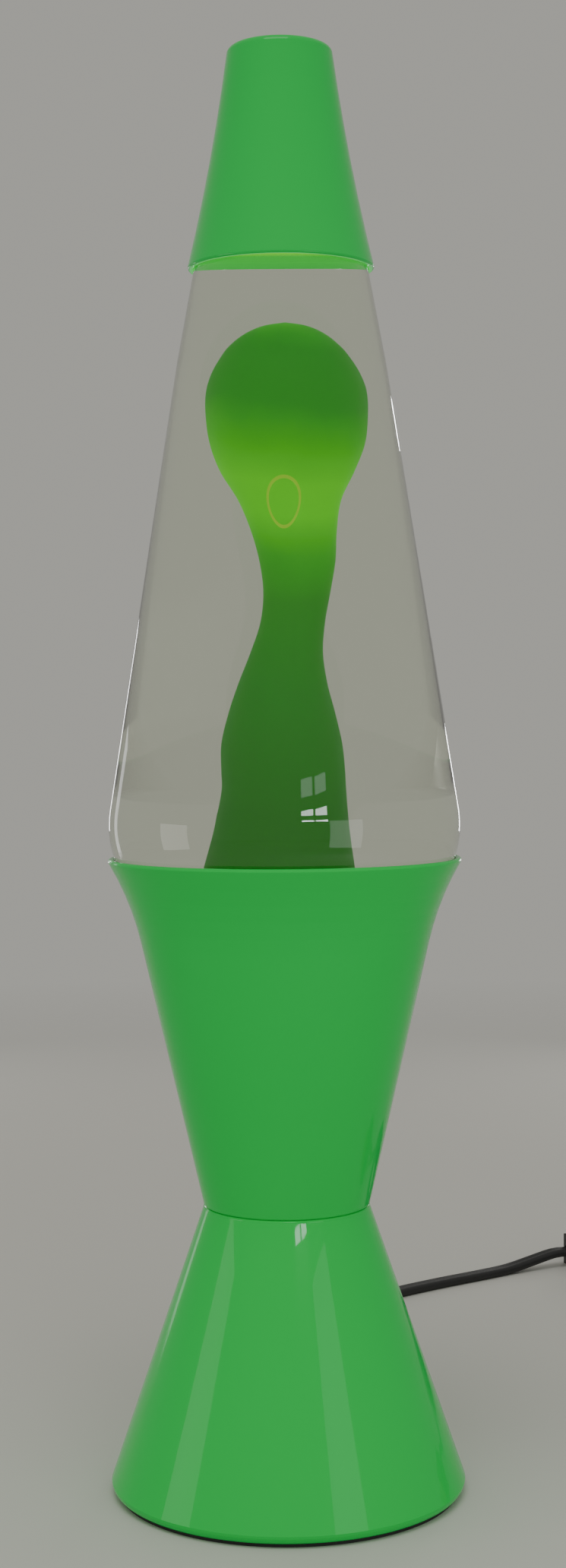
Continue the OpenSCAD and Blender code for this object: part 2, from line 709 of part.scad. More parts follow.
// The way into each end of the switch for the flex
module flex_ways() {
    for (s = [-1, 1]) translate([s*switch_l/2, 0, switch_low_h])
        cube([2*flex_in + 0.5, flex_w + 2*flex_gap, flex_t + 2*flex_gap], center = true);
}

module switch_lower_half() {
    color(black) in_switch_place() difference() {
        linear_extrude(height = switch_low_h) switch_plan();
        translate([0, 0, switch_wall + switch_low_h/2]) cube([30, 14, switch_low_h], center = true);
        flex_ways();
        for (s = [-1, 1]) translate([s*switch_screw_x, 0, -1]) {
            cylinder(h = switch_low_h + 2, r = 1.1);
            cylinder(h = 2.4, r = 2);
        }
    }
}

module switch_upper_half() {
    color(black) in_switch_place() difference() {
        translate([0, 0, switch_low_h]) intersection() {
            linear_extrude(height = switch_high_h) switch_plan();
            translate([0, 0, -8]) rotate([0, 90, 0]) cylinder(h = switch_l + 2, r = 14.2, center = true);
        }
        cube([rocker_l + 2*turn_gap, rocker_w + 2*turn_gap, 40], center = true);
        translate([0, 0, rocker_z]) rotate([90, 0, 0])
            cylinder(h = rocker_w + 2*rocker_pin_l + 0.8, r = rocker_pin_r + 0.05, center = true);
        flex_ways();
        for (s = [-1, 1]) translate([s*switch_screw_x, 0, switch_low_h - 1]) cylinder(h = 4, r = 1);
    }
}

module switch_rocker() {
    color(black) in_switch_place() translate([0, 0, rocker_z]) rotate([0, rocker_tilt, 0]) {
        intersection() {
            translate([-rocker_l/2, -rocker_w/2, -2.4]) cube([rocker_l, rocker_w, 7.5]);
            union() {
                for (s = [-1, 1]) rotate([0, s*rocker_tilt, 0]) translate([-14, -rocker_w/2, -14]) cube([28, rocker_w, 18.2]);
            }
            rotate([90, 0, 0]) cylinder(h = rocker_w, r = rocker_l/2, center = true);
        }
        rotate([90, 0, 0]) cylinder(h = rocker_w + 2*rocker_pin_l, r = rocker_pin_r, center = true);
    }
}

module switch_screws() {
    color(steel) in_switch_place() for (s = [-1, 1]) translate([s*switch_screw_x, 0, 0.3]) difference() {
        union() {
            cylinder(h = switch_low_h + 2.3, r = 0.95);
            cylinder(h = 1, r = 1.8);
        }
        cube([4, 0.5, 1], center = true);
    }
}

module switch_contacts() {
    color(brass) in_switch_place() for (s = [-1, 1]) translate([s*8 - 3, -4, switch_wall])
        cube([6, 8, 0.6]);
}

// ---------------- Plug ----------------

module plug_body() {
    color(black) translate([plug_end[0], plug_end[1], 0]) rotate([0, 0, -90]) union() {
        translate([8, 0, 0]) linear_extrude(height = plug_t) polygon([
            [0, -5], [0, 5], [5, 9], [9, plug_w/2], [plug_l - 11, plug_w/2], [plug_l - 8, plug_w/2 - 3],
            [plug_l - 8, -plug_w/2 + 3], [plug_l - 11, -plug_w/2], [9, -plug_w/2], [5, -9]]);
        translate([0, 0, plug_t/2]) rotate([0, 90, 0]) cylinder(h = 8, r1 = 3.4, r2 = 4.8);
    }
}

module plug_blades() {
    color(brass) translate([plug_end[0], plug_end[1], 0]) rotate([0, 0, -90]) for (s = [-1, 1])
        translate([plug_l, s*blade_gap/2 - blade_t/2, plug_t/2 - blade_h/2])
            difference() {
                cube([blade_l, blade_t, blade_h]);
                translate([blade_l - 4.5, -1, blade_h/2]) rotate([-90, 0, 0]) cylinder(h = 4, r = 1.6);
            }
}

lower_cone();
upper_cone();
cap();
globe_glass();
liquid();
wax();
wax_coil();
crown_closure();
closure_liner();
bottom_cover();
foot_ring();
waist_screws();
waist_nuts();
socket_bracket();
socket_nipple();
nipple_nuts();
socket_body();
socket_shell();
socket_contact();
terminal_screws();
bulb_glass();
bulb_shell();
bulb_contact();
bulb_stem();
filament();
inner_leads();
cord_gland();
flex_lamp_side();
switch_lower_half();
switch_upper_half();
switch_rocker();
switch_screws();
switch_contacts();
flex_switch_side();
flex_coil();
flex_tie();
flex_plug_side();
plug_body();
plug_blades();
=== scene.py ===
"""A lava lamp on a pale floor: a waisted enamelled base, a glass globe of liquid and glowing wax, a slip-on
cap, and a flat twin flex with its switch, wound coil and plug. Lengths are written in millimetres and
scaled to metres."""

import math

import bpy
import numpy as np
from mathutils import Matrix, Vector


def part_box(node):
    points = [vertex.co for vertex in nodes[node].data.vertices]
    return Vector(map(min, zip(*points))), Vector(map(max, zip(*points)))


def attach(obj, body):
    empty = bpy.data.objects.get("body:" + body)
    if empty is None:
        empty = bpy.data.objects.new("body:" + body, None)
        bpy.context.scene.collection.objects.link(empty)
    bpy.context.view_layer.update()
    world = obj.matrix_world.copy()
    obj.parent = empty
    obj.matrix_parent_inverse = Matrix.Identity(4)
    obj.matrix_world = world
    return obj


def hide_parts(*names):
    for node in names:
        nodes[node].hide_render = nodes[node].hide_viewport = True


MM = 0.001
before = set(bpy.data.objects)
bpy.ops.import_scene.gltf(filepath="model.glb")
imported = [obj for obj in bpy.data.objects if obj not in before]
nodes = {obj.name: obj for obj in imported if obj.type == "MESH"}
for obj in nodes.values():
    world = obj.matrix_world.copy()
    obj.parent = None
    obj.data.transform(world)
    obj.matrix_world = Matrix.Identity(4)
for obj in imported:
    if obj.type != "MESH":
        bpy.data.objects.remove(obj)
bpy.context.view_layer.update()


# ---------------------------------------------------------------- camera

def aim_camera():
    """Camera standing in front of the lamp at 588 mm, a little above its middle, tipped down 2 degrees and
    rolled by a third of a degree."""
    data = bpy.data.cameras.new("photographer")
    data.lens = 52.9
    data.sensor_width = 36.0
    data.clip_start = 0.02
    data.clip_end = 50.0
    camera = bpy.data.objects.new("photographer", data)
    tip_down, roll = 0.0343, -0.0065
    turn = Matrix.Rotation(math.pi / 2 - tip_down, 4, "X") @ Matrix.Rotation(roll, 4, "Z")
    camera.matrix_world = Matrix.Translation((-0.0003, -0.5876, 0.2013)) @ turn
    bpy.context.collection.objects.link(camera)
    bpy.context.scene.camera = camera


aim_camera()


# ---------------------------------------------------------------- mesh helpers

def make_piece(name, points, faces, smooth=True, uv=None):
    """Mesh object at the origin from an array of points in millimetres and an array of four-sided faces. A
    face whose last two corners are the same becomes a triangle."""
    mesh = bpy.data.meshes.new(name)
    corner_lists = [tuple(f[:3]) if f[2] == f[3] else tuple(f) for f in np.asarray(faces).tolist()]
    mesh.from_pydata((np.asarray(points, float) * MM).tolist(), [], corner_lists)
    mesh.update()
    mesh.polygons.foreach_set("use_smooth", np.full(len(mesh.polygons), smooth))
    if uv is not None:
        layer = mesh.uv_layers.new(name="along")
        corner = np.empty(len(mesh.loops), int)
        mesh.loops.foreach_get("vertex_index", corner)
        layer.data.foreach_set("uv", np.asarray(uv, float)[corner].ravel())
    piece = bpy.data.objects.new(name, mesh)
    bpy.context.collection.objects.link(piece)
    return piece


def grid_faces(rows, columns, closed=True):
    """Faces of a rows x columns grid of points, row by row, with the last column joined to the first if
    closed."""
    across = columns if closed else columns - 1
    i, j = np.meshgrid(np.arange(rows - 1), np.arange(across), indexing="ij")
    a = i * columns + j
    b = i * columns + (j + 1) % columns
    return np.stack([a, b, b + columns, a + columns], axis=-1).reshape(-1, 4)


def fan_faces(pole, ring_start, columns, outwards):
    """Triangles between one pole point and a closed ring of points."""
    j = np.arange(columns)
    a, b = ring_start + j, ring_start + (j + 1) % columns
    order = (a, b) if outwards else (b, a)
    return np.stack([np.full(columns, pole), order[0], order[1], order[1]], axis=-1)


def turned(name, profile, columns):
    """Closed body of revolution. The profile is (radius, height) from the pole on the axis, out and round,
    back to a pole on the axis; point (r, z) at angle t lies at (r cos t, r sin t, z)."""
    profile = np.asarray(profile, float)
    inner = profile[1:-1]
    angle = np.linspace(0, 2 * np.pi, columns, endpoint=False)
    r, z = inner[:, :1], np.repeat(inner[:, 1:], columns, axis=1)
    ring = np.stack([r * np.cos(angle), r * np.sin(angle), z], axis=-1).reshape(-1, 3)
    points = np.vstack([ring, [[0, 0, profile[0, 1]], [0, 0, profile[-1, 1]]]])
    count = len(ring)
    faces = np.vstack([grid_faces(len(inner), columns),
                       fan_faces(count, 0, columns, False),
                       fan_faces(count + 1, count - columns, columns, True)])
    return make_piece(name, points, faces)


def arc(x, z, radius, start, end, steps=8):
    """Points (x + radius cos a, z + radius sin a) for angles a from start to end, in degrees."""
    a = np.radians(np.linspace(start, end, steps + 1))
    return np.stack([x + radius * np.cos(a), z + radius * np.sin(a)], axis=1)


def smooth_line(points, spacing):
    """Catmull-Rom curve through the points, then resampled to one spacing along its length."""
    p = np.asarray(points, float)
    q = np.vstack([2 * p[0] - p[1], p, 2 * p[-1] - p[-2]])
    t = np.linspace(0, 1, 24, endpoint=False)[:, None, None]
    a, b, c, d = q[:-3], q[1:-2], q[2:-1], q[3:]
    curve = 0.5 * (2 * b + (c - a) * t + (2 * a - 5 * b + 4 * c - d) * t**2 + (3 * b - a - 3 * c + d) * t**3)
    curve = np.vstack([curve.transpose(1, 0, 2).reshape(-1, p.shape[1]), p[-1:]])
    run = np.concatenate([[0], np.cumsum(np.linalg.norm(np.diff(curve, axis=0), axis=1))])
    even = np.linspace(0, run[-1], max(2, int(round(run[-1] / spacing)) + 1))
    return np.stack([np.interp(even, run, curve[:, k]) for k in range(p.shape[1])], axis=1)


# ---------------------------------------------------------------- flex

FLEX_WIDTH, FLEX_THICK = 5.6, 2.9
SWITCH_CENTRE, SWITCH_TURN, SWITCH_LENGTH = np.array([127.3, 241.05]), math.radians(20), 56.0
FLEX_INTO_SWITCH = 4.0
COIL_CENTRE = np.array([147.4, 190.0])
COIL_RADII = np.array([36.8, 31.0, 25.2, 25.2, 31.0, 36.8, 36.8])
COIL_LAYERS = np.array([0, 0, 0, 1, 1, 1, 2])
COIL_LOW, COIL_STEP = 2.1, 3.1


def on_switch(distance):
    """Point on the switch's long axis, at the height where the flex goes in."""
    x, y = SWITCH_CENTRE + distance * np.array([math.cos(SWITCH_TURN), math.sin(SWITCH_TURN)])
    return [x, y, 5.0]


LAMP_ROUTE = [[0, 68, 10], [0, 78, 10], [0, 89, 8.2], [0, 101, 4.6], [1, 114, 2], [2.5, 128, 1.5],
              [6.5, 144, 1.5], [14, 161, 1.5], [25, 177, 1.5], [38, 190, 1.5], [53, 202, 1.5],
              [67, 212, 1.5], [78, 220, 1.7], [87.5, 225.6, 3.4], on_switch(-SWITCH_LENGTH / 2 - 6),
              on_switch(-SWITCH_LENGTH / 2), on_switch(-SWITCH_LENGTH / 2 + FLEX_INTO_SWITCH)]
SWITCH_ROUTE = [on_switch(SWITCH_LENGTH / 2 - FLEX_INTO_SWITCH), on_switch(SWITCH_LENGTH / 2),
                on_switch(SWITCH_LENGTH / 2 + 5), [165.5, 253.4, 3], [172.5, 250.3, 1.5],
                [179, 244.2, 1.5], [183, 236.5, 1.5], [184.2, 228, 1.6], [184.2, 215, 1.8],
                [184.2, 202, 2.1]]
PLUG_ROUTE = [[184.2, 178, 8.0], [184.2, 169, 6.6], [184.2, 160, 3.8], [184.2, 149, 1.7], [184.2, 138, 1.5],
              [184.2, 129, 1.6], [184.2, 118, 3.2], [184.2, 107, 5.6], [184.2, 98, 6.5], [184.2, 90, 6.5]]


def coil_points(per_turn=24):
    """Clockwise turns: turn number t is at angle -2 pi t, and the radius and layer slide from one turn's
    value to the next over the last quarter of each turn."""
    t = np.arange(0, len(COIL_RADII) * per_turn + 1) / per_turn
    turn = np.minimum(t.astype(int), len(COIL_RADII) - 1)
    after = np.minimum(turn + 1, len(COIL_RADII) - 1)
    part = np.clip((t - turn - 0.74) / 0.21, 0, 1)
    slide = part * part * (3 - 2 * part)
    radius = COIL_RADII[turn] * (1 - slide) + COIL_RADII[after] * slide
    layer = COIL_LAYERS[turn] * (1 - slide) + COIL_LAYERS[after] * slide
    angle = -2 * np.pi * t
    return np.stack([COIL_CENTRE[0] + radius * np.cos(angle), COIL_CENTRE[1] + radius * np.sin(angle),
                     COIL_LOW + COIL_STEP * layer], axis=1)


def flex_section():
    """Outline of the flat twin flex, two round lobes with a shallow groove between them: each lobe is a
    circle as wide as the flex is thick, drawn from -126 to 126 degrees, with the groove's floor between the
    lobes."""
    lobe = FLEX_THICK / 2
    centre = FLEX_WIDTH / 2 - lobe
    a = np.radians(np.linspace(-126, 126, 9))
    right = np.stack([centre + lobe * np.cos(a), lobe * np.sin(a)], axis=1)
    floor = 0.68 * lobe
    return np.vstack([right, [[0, floor]], -right, [[0, -floor]]])


def flex_piece(name, route, spacing=2.6):
    """The flex's section carried along the route, its width kept level: at each point the width runs along
    the horizontal normal of the route and the thickness along the normal above it."""
    line = smooth_line(route, spacing)
    along = np.gradient(line, axis=0)
    along /= np.linalg.norm(along, axis=1, keepdims=True)
    across = np.cross([0, 0, 1], along)
    across /= np.linalg.norm(across, axis=1, keepdims=True)
    up = np.cross(along, across)
    section = flex_section()
    rings = (line[:, None] + across[:, None] * section[None, :, :1] + up[:, None] * section[None, :, 1:])
    rows, columns = rings.shape[:2]
    points = np.vstack([rings.reshape(-1, 3), line[:1], line[-1:]])
    faces = np.vstack([grid_faces(rows, columns)[:, ::-1],
                       fan_faces(rows * columns, 0, columns, True),
                       fan_faces(rows * columns + 1, (rows - 1) * columns, columns, False)])
    run = np.concatenate([[0], np.cumsum(np.linalg.norm(np.diff(line, axis=0), axis=1))])
    u = np.repeat(run, columns) / 10
    v = np.tile(np.arange(columns) / columns, rows)
    uv = np.vstack([np.stack([u, v], axis=1), [[0, 0], [run[-1] / 10, 0]]])
    piece = make_piece(name, points, faces, uv=uv)
    return piece, line * MM, run[-1] * MM


flex_lamp, lamp_line, lamp_length = flex_piece("flex_from_lamp", LAMP_ROUTE)
flex_plug, plug_line, plug_length = flex_piece(
    "flex_to_plug", np.vstack([SWITCH_ROUTE, coil_points(), PLUG_ROUTE]))
for flex, replaced in ((flex_lamp, ["flex_lamp_side"]),
                       (flex_plug, ["flex_switch_side", "flex_coil", "flex_plug_side"])):
    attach(flex, "base")
    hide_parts(*replaced)


# ---------------------------------------------------------------- finishes

MIX_A, MIX_B, MIX_RESULT = 6, 7, 2      # a Mix node's sockets for colours


def math_node(tree, operation, first, second=None):
    """Math node on two values, each a number or another node's output."""
    node = tree.nodes.new("ShaderNodeMath")
    node.operation = operation
    for socket, value in zip(node.inputs, (first, second)):
        if isinstance(value, (int, float)):
            socket.default_value = value
        elif value is not None:
            tree.links.new(value, socket)
    return node.outputs["Value"]


def distance_node(tree, a, b):
    """Distance of (a, b) from the middle: the square root of a squared plus b squared."""
    return math_node(tree, "SQRT", math_node(tree, "ADD", math_node(tree, "MULTIPLY", a, a),
                                             math_node(tree, "MULTIPLY", b, b)))


def colour_mix(tree, amount, first, second):
    """Mix from the first colour to the second, each a colour or another node's output."""
    node = tree.nodes.new("ShaderNodeMix")
    node.data_type = "RGBA"
    tree.links.new(amount, node.inputs["Factor"])
    for socket, colour in ((node.inputs[MIX_A], first), (node.inputs[MIX_B], second)):
        if isinstance(colour, tuple):
            socket.default_value = colour
        else:
            tree.links.new(colour, socket)
    return node.outputs[MIX_RESULT]


def object_place(tree):
    """Place on the object, as one vector and as its x, y and z."""
    place = tree.nodes.new("ShaderNodeTexCoord").outputs["Object"]
    split = tree.nodes.new("ShaderNodeSeparateXYZ")
    tree.links.new(place, split.inputs["Vector"])
    return place, *(split.outputs[k] for k in "XYZ")


def colour_ramp(tree, value, stops):
    """Colour for a value, from (place, colour) stops."""
    ramp = tree.nodes.new("ShaderNodeValToRGB")
    elements = ramp.color_ramp.elements
    while len(elements) < len(stops):
        elements.new(0.5)
    for element, (place, colour) in zip(elements, stops):
        element.position, element.color = place, (*colour, 1)
    tree.links.new(value, ramp.inputs["Fac"])
    return ramp.outputs["Color"]


def uneven_finish_group():
    """Shared effect: a slow cloud mixes two colours and a fine grain moves the roughness and raises the
    surface. Cloud and grain are noise on Object coordinates, with their sizes given as waves per metre."""
    tree = bpy.data.node_groups.new("uneven_finish", "ShaderNodeTree")
    for name, kind, value in (("Light Colour", "NodeSocketColor", (0.8, 0.8, 0.8, 1)),
                              ("Dark Colour", "NodeSocketColor", (0.6, 0.6, 0.6, 1)),
                              ("Cloud Waves", "NodeSocketFloat", 30.0),
                              ("Grain Waves", "NodeSocketFloat", 900.0),
                              ("Least Roughness", "NodeSocketFloat", 0.3),
                              ("Most Roughness", "NodeSocketFloat", 0.5)):
        tree.interface.new_socket(name, in_out="INPUT", socket_type=kind).default_value = value
    for name, kind in (("Colour", "NodeSocketColor"), ("Roughness", "NodeSocketFloat"),
                       ("Height", "NodeSocketFloat")):
        tree.interface.new_socket(name, in_out="OUTPUT", socket_type=kind)
    given, put_out = tree.nodes.new("NodeGroupInput"), tree.nodes.new("NodeGroupOutput")
    place = tree.nodes.new("ShaderNodeTexCoord")
    cloud, grain = tree.nodes.new("ShaderNodeTexNoise"), tree.nodes.new("ShaderNodeTexNoise")
    cloud.inputs["Detail"].default_value, grain.inputs["Detail"].default_value = 3.0, 2.0
    spread = tree.nodes.new("ShaderNodeMapRange")
    spread.inputs["From Min"].default_value, spread.inputs["From Max"].default_value = 0.35, 0.65
    link = tree.links.new
    for noise, waves in ((cloud, "Cloud Waves"), (grain, "Grain Waves")):
        link(place.outputs["Object"], noise.inputs["Vector"])
        link(given.outputs[waves], noise.inputs["Scale"])
    mixed = colour_mix(tree, cloud.outputs["Fac"], given.outputs["Dark Colour"],
                       given.outputs["Light Colour"])
    link(grain.outputs["Fac"], spread.inputs["Value"])
    link(given.outputs["Least Roughness"], spread.inputs["To Min"])
    link(given.outputs["Most Roughness"], spread.inputs["To Max"])
    link(mixed, put_out.inputs["Colour"])
    link(spread.outputs["Result"], put_out.inputs["Roughness"])
    link(grain.outputs["Fac"], put_out.inputs["Height"])
    return tree


uneven_finish = uneven_finish_group()


def plain_material(name, **sockets):
    """Material with one Principled shader whose named sockets are set."""
    material = bpy.data.materials.new(name)
    material.use_nodes = True
    shader = material.node_tree.nodes["Principled BSDF"]
    for socket, value in sockets.items():
        shader.inputs[socket.replace("_", " ")].default_value = value
    return material, material.node_tree, shader


def finish(name, light, dark, rough, cloud=30, grain=900, bump=0.02, **sockets):
    """Material from the shared uneven finish. rough is its least and most roughness, and bump the height of
    its grain in millimetres."""
    material, tree, shader = plain_material(name, **sockets)
    group = tree.nodes.new("ShaderNodeGroup")
    group.node_tree = uneven_finish
    for socket, value in (("Light Colour", (*light, 1)), ("Dark Colour", (*dark, 1)),
                          ("Cloud Waves", cloud), ("Grain Waves", grain),
                          ("Least Roughness", rough[0]), ("Most Roughness", rough[1])):
        group.inputs[socket].default_value = value
    raised = tree.nodes.new("ShaderNodeBump")
    raised.inputs["Strength"].default_value = 1.0
    raised.inputs["Distance"].default_value = bump * MM
    tree.links.new(group.outputs["Colour"], shader.inputs["Base Color"])
    tree.links.new(group.outputs["Roughness"], shader.inputs["Roughness"])
    tree.links.new(group.outputs["Height"], raised.inputs["Height"])
    tree.links.new(raised.outputs["Normal"], shader.inputs["Normal"])
    return material


def green_enamel(name, shine):
    """Glossy green enamel under a thin clear coat."""
    return finish(name, (0.0, 0.70, 0.098), (0.0, 0.66, 0.090), (0.16, 0.22), cloud=12, grain=420, bump=0.006,
                  Coat_Weight=0.3, Coat_Roughness=0.02, Specular_IOR_Level=shine)


enamel = green_enamel("green_enamel", 0.05)
cap_enamel = green_enamel("green_enamel_cap", 0.1)


def light_inside_cap(material):
    """Lamplight on the inside of the cap: green at the hem, yellow above it and fading 37 mm up. It glows
    where the distance from the axis is under that of the middle of the sheet, which at part p of the side's
    height is hem_r - taper p - bow p (1 - p)."""
    hem_r, taper, bow, side_height = 0.02315, 0.01015, 0.0028, 0.0532
    tree = material.node_tree
    shader = tree.nodes["Principled BSDF"]
    _, x, y, z = object_place(tree)
    part = math_node(tree, "DIVIDE", math_node(tree, "SUBTRACT", z, CAP_Z * MM), side_height)
    bulge = math_node(tree, "MULTIPLY", part, math_node(tree, "SUBTRACT", 1.0, part))
    drawn_in = math_node(tree, "ADD", math_node(tree, "MULTIPLY", part, taper),
                         math_node(tree, "MULTIPLY", bulge, bow))
    inside = math_node(tree, "LESS_THAN", distance_node(tree, x, y),
                       math_node(tree, "SUBTRACT", hem_r, drawn_in))
    glow = colour_ramp(tree, part, (
        (0.0, (0.006, 0.26, 0.024)), (0.06, (0.010, 0.32, 0.016)), (0.12, (0.50, 1.0, 0.0)),
        (0.30, (0.40, 0.9, 0.0)), (0.70, (0.0, 0.0, 0.0))))
    tree.links.new(colour_mix(tree, inside, (0, 0, 0, 1), glow), shader.inputs["Emission Color"])
    shader.inputs["Emission Strength"].default_value = 1.5


def glass_material(name, ior, tint):
    """Smooth clear material that bends light by the given index."""
    return plain_material(name, Base_Color=(*tint, 1), Roughness=0.0, IOR=ior, Transmission_Weight=1.0)[0]


GLASS_IOR, LIQUID_IOR = 1.5, 1.34
globe_glass = glass_material("globe_glass", GLASS_IOR, (0.94, 0.96, 0.91))
wetted_glass = glass_material("globe_glass_wetted", GLASS_IOR / LIQUID_IOR, (0.94, 0.96, 0.91))
liquid_side = glass_material("clear_liquid_side", 1.0, (0.95, 0.96, 0.91))
liquid_top = glass_material("clear_liquid_top", LIQUID_IOR, (0.99, 1.0, 0.985))
bulb_clear = glass_material("bulb_glass_clear", 1.5, (1.0, 1.0, 0.98))

black_plastic = finish("black_moulded_plastic", (0.022, 0.022, 0.024), (0.015, 0.015, 0.017), (0.42, 0.55),
                       cloud=40, grain=2400, bump=0.02)
flex_sheath = finish("black_flex_sheath", (0.020, 0.020, 0.021), (0.012, 0.012, 0.013), (0.38, 0.50),
                     cloud=60, grain=1500, bump=0.015)
foot_rubber = finish("foot_rubber", (0.03, 0.03, 0.03), (0.018, 0.018, 0.018), (0.7, 0.85), grain=1800,
                     bump=0.03)
zinc = finish("zinc_plate", (0.62, 0.63, 0.66), (0.48, 0.49, 0.52), (0.28, 0.42), cloud=140, grain=2200,
              bump=0.006, Metallic=1.0)
nickel = finish("nickel_plate", (0.70, 0.68, 0.64), (0.60, 0.58, 0.55), (0.18, 0.30), cloud=120, grain=1800,
                bump=0.005, Metallic=1.0)
brass = finish("turned_brass", (0.72, 0.50, 0.20), (0.58, 0.38, 0.13), (0.22, 0.36), cloud=90, grain=1800,
               bump=0.006, Metallic=1.0)
phenolic = finish("brown_phenolic", (0.060, 0.030, 0.018), (0.035, 0.017, 0.010), (0.30, 0.42), cloud=110,
                  grain=1300, bump=0.012)
liner_plastic = finish("white_liner", (0.80, 0.80, 0.77), (0.70, 0.70, 0.67), (0.45, 0.6), bump=0.01)
lead_sleeve = finish("glass_fibre_sleeve", (0.70, 0.62, 0.45), (0.55, 0.47, 0.32), (0.6, 0.8), cloud=400,
                     grain=3500, bump=0.05)
bulb_solder = finish("black_glass_and_solder", (0.02, 0.02, 0.02), (0.012, 0.012, 0.012), (0.1, 0.2),
                     bump=0.004)
hot_filament = finish("hot_filament", (0.30, 0.20, 0.12), (0.22, 0.15, 0.10), (0.4, 0.5), bump=0.004,
                      Metallic=1.0, Emission_Color=(1.0, 0.72, 0.38, 1), Emission_Strength=12.0)

node_finishes = {
    enamel: ("lower_cone", "upper_cone"), cap_enamel: ("cap",),
    zinc: ("wax_coil", "crown_closure", "waist_screws", "waist_nuts", "socket_bracket", "socket_nipple",
           "nipple_nuts", "switch_screws"),
    liner_plastic: ("closure_liner",), foot_rubber: ("foot_ring",), phenolic: ("socket_body",),
    black_plastic: ("bottom_cover", "cord_gland", "switch_lower_half", "switch_upper_half", "switch_rocker",
                    "plug_body", "flex_tie"),
    brass: ("socket_shell", "socket_contact", "terminal_screws", "switch_contacts", "plug_blades"),
    bulb_clear: ("bulb_glass", "bulb_stem"), nickel: ("bulb_shell",), bulb_solder: ("bulb_contact",),
    hot_filament: ("filament",), lead_sleeve: ("inner_leads",)}


def dress(piece, *materials):
    """Gives the piece these materials and no others."""
    piece.data.materials.clear()
    for material in materials:
        piece.data.materials.append(material)


for material, names in node_finishes.items():
    for name in names:
        dress(nodes[name], material)
for flex in (flex_lamp, flex_plug):
    dress(flex, flex_sheath)


# ---------------------------------------------------------------- globe

SHEET, RIM_R, FLARE_R, WAIST_R = 0.9, 45.05, 36.8, 21.4
RIM_Z, CAP_Z = 162.5, 311.3
FLARE_Z, CONE_LOW_Z, GLOBE_BOTTOM = RIM_Z - 21.5, 74.3, RIM_Z - 44.5
GLASS_WALL, LIQUID_FILM = 2.4, 0.05     # the film is the least gap left between glass and liquid
NECK_R = 12.4
NECK_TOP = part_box("globe_glass")[1][2] / MM
LIQUID_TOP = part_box("liquid")[1][2] / MM


def globe_outline(inset, top):
    """Half outline of the globe, moved inwards by inset: a foot circle and a shoulder circle with their
    common tangent, then a cone, an outward curve, and an inward curve that ends in the upright neck. The
    curves keep their centres and change their radii by the inset."""
    shoulder_r, foot_r, bend_a, bend_b, neck_turn = 28.0, 6.0, 12.0, 5.0, 55.0
    rim_bead, rim_gap, rise, foot_room, under_cap = 0.75, 0.25, 8.5, 6.4, 6.5
    reach = math.sqrt((shoulder_r + rim_bead + rim_gap)**2 - (rise + rim_bead)**2)
    shoulder = np.array([RIM_R - rim_bead - reach, RIM_Z + rise])
    slope = (FLARE_R - WAIST_R) / (FLARE_Z - CONE_LOW_Z)
    foot_z = GLOBE_BOTTOM + foot_r
    cone_inside = WAIST_R + slope * (foot_z - CONE_LOW_Z) - SHEET * math.hypot(1, slope)
    foot = np.array([cone_inside - foot_room - foot_r, foot_z])
    top_point, upper_point = np.array([22.1, CAP_Z]), np.array([26.6, CAP_Z - 24])
    lean = math.atan2(upper_point[0] - top_point[0], top_point[1] - upper_point[1])
    down, up = foot - shoulder, upper_point - shoulder
    turn_down = math.degrees(math.atan2(down[1], down[0])
                             + math.acos((shoulder_r - foot_r) / np.hypot(*down)))
    turn_up = math.degrees(math.atan2(up[1], up[0]) - math.acos(shoulder_r / np.hypot(*up)))
    neck_start = top_point + under_cap * np.array([-math.tan(lean), 1])
    centre_a = neck_start - bend_a * np.array([math.cos(lean), math.sin(lean)])
    steep = math.radians(neck_turn)
    end_a = centre_a + bend_a * np.array([math.cos(steep), math.sin(steep)])
    straight = (end_a[0] - NECK_R - bend_b * (1 - math.cos(steep))) / math.sin(steep)
    centre_b = (end_a + straight * np.array([-math.sin(steep), math.cos(steep)])
                + bend_b * np.array([math.cos(steep), math.sin(steep)]))
    cone = upper_point - inset * np.array([math.cos(lean), math.sin(lean)])
    return np.vstack([
        [[0, GLOBE_BOTTOM + inset], [foot[0] * 0.5, GLOBE_BOTTOM + inset]],
        arc(*foot, foot_r - inset, -90, turn_down, 12),
        arc(*shoulder, shoulder_r - inset, turn_down, turn_up, 40),
        [cone],
        arc(*centre_a, bend_a - inset, math.degrees(lean), neck_turn, 12),
        arc(*centre_b, bend_b + inset, 180 + neck_turn, 180, 8),
        [[NECK_R - inset, top]]])


def along_outline(profile, longest=3.0):
    """Adds even steps to the long straight stretches of an outline, so that its shading stays smooth."""
    pieces = [profile[:1]]
    for start, end in zip(profile[:-1], profile[1:]):
        steps = max(1, int(np.ceil(np.linalg.norm(end - start) / longest)))
        pieces.append(start + (end - start) * np.arange(1, steps + 1)[:, None] / steps)
    return np.vstack(pieces)


